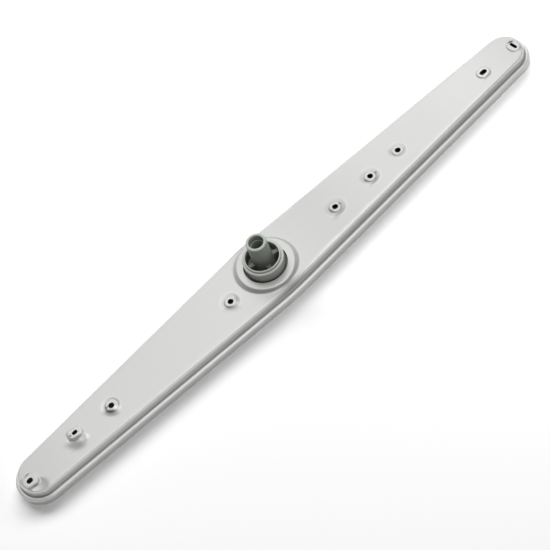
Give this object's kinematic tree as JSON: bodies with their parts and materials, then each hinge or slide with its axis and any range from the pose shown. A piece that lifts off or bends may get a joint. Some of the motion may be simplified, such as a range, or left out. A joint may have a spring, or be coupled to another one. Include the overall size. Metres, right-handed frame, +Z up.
{
  "type": "dishwasher spray arm",
  "caption": "Long tapered sheet-metal spray arm with pressed jets along one face, turning on a moulded hub with a flanged sleeve and a central feed tube.",
  "frame": {"origin": "hub axis, on the flat underside that the arm lies on", "axes": "+X along the longer wing, +Z up out of the jets and along the hub's tube"},
  "size_m": [0.46, 0.0558, 0.041],
  "materials": {
    "satin_steel": "pressed stainless sheet with a fine, even satin grain",
    "hub_plastic": "moulded grey-green plastic, slightly glossy on its rims",
    "bearing_plastic": "smooth dark bearing plastic"
  },
  "bodies": {
    "hub": {"hub_sleeve": "hub_plastic", "hub_base": "hub_plastic", "centre_tube": "hub_plastic"},
    "arm": {"upper_shell": "satin_steel", "lower_shell": "satin_steel", "upper_ring": "bearing_plastic", "lower_ring": "bearing_plastic"}
  },
  "joints": [
    {"name": "arm_spin", "type": "hinge", "parent": "hub", "child": "arm", "pos_m": [0, 0, 0.01], "axis": [0, 0, 1], "continuous": true}
  ]
}
